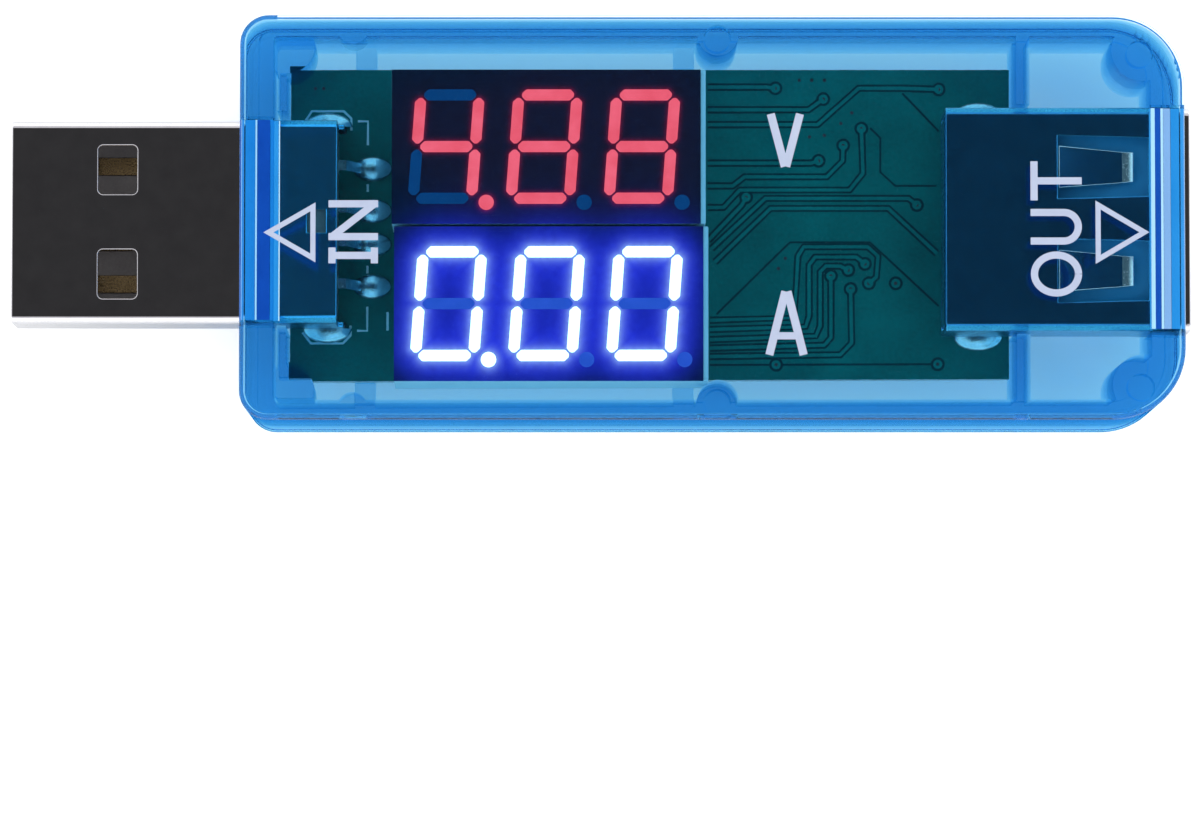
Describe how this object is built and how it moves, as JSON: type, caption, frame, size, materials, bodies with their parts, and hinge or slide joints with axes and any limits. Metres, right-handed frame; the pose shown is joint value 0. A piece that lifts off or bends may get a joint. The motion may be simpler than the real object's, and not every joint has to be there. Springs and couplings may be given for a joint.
{
  "type": "usb power meter",
  "caption": "In-line voltage and current meter: plug at one end, socket at the other, stacked glowing digit displays on a board in a clear blue two-part case.",
  "frame": {"origin": "centre of the bounding box at its lowest face: the middle of the overall length and width, on the back of the case", "axes": "+X from the plug's tip towards the socket's mouth, +Z out of the display face, -Z out of the back face the meter lies on"},
  "size_m": [0.0694, 0.0238, 0.012],
  "materials": {
    "clear_blue": "clear tinted polycarbonate, polished",
    "board_green": "green solder mask",
    "display_grey": "moulded",
    "display_black": "printed black film",
    "lit_red": "glowing",
    "lit_blue": "glowing",
    "dark_segment": "translucent, unlit",
    "tinned_pin": "tinned",
    "plug_steel": "nickel plated, satin",
    "port_steel": "nickel plated, satin",
    "grey_insulator": "moulded",
    "white_insulator": "moulded",
    "contact_brass": "thinly plated",
    "solder": "bright solder",
    "chip_black": "moulded epoxy",
    "resistor_black": "glazed film on ceramic",
    "capacitor_tan": "fired ceramic"
  },
  "bodies": {
    "meter": {"amplifier_chip": "chip_black", "back_shell": "clear_blue", "chip_capacitors": "capacitor_tan", "chip_resistors": "resistor_black", "circuit_board": "board_green", "controller_chip": "chip_black", "current_dark_segments": "dark_segment", "current_display_housing": "display_grey", "current_display_mask": "display_black", "current_display_pins": "tinned_pin", "current_lit_segments": "lit_blue", "front_shell": "clear_blue", "lead_solder": "solder", "leg_solder": "solder", "pin_solder": "solder", "plug_contacts": "contact_brass", "plug_insulator": "grey_insulator", "plug_shell": "plug_steel", "port_contacts": "contact_brass", "port_insulator": "white_insulator", "port_shell": "port_steel", "shunt_resistor": "resistor_black", "voltage_dark_segments": "dark_segment", "voltage_display_housing": "display_grey", "voltage_display_mask": "display_black", "voltage_display_pins": "tinned_pin", "voltage_lit_segments": "lit_red", "voltage_regulator": "chip_black"},
    "port_spring_top_a": {"port_spring_top_a": "port_steel"},
    "port_spring_top_b": {"port_spring_top_b": "port_steel"},
    "port_spring_bottom_a": {"port_spring_bottom_a": "port_steel"},
    "port_spring_bottom_b": {"port_spring_bottom_b": "port_steel"}
  },
  "joints": [
    {"name": "port_spring_top_a_flex", "type": "hinge", "parent": "meter", "child": "port_spring_top_a", "pos_m": [0.02693, 0.00307, 0.00977], "axis": [0, -1, 0], "range_deg": [0, 4], "stiffness_Nm_per_rad": 0.05},
    {"name": "port_spring_top_b_flex", "type": "hinge", "parent": "meter", "child": "port_spring_top_b", "pos_m": [0.02693, -0.00307, 0.00977], "axis": [0, -1, 0], "range_deg": [0, 4], "stiffness_Nm_per_rad": 0.05},
    {"name": "port_spring_bottom_a_flex", "type": "hinge", "parent": "meter", "child": "port_spring_bottom_a", "pos_m": [0.02693, 0.00307, 0.00435], "axis": [0, 1, 0], "range_deg": [0, 4], "stiffness_Nm_per_rad": 0.05},
    {"name": "port_spring_bottom_b_flex", "type": "hinge", "parent": "meter", "child": "port_spring_bottom_b", "pos_m": [0.02693, -0.00307, 0.00435], "axis": [0, 1, 0], "range_deg": [0, 4], "stiffness_Nm_per_rad": 0.05}
  ]
}
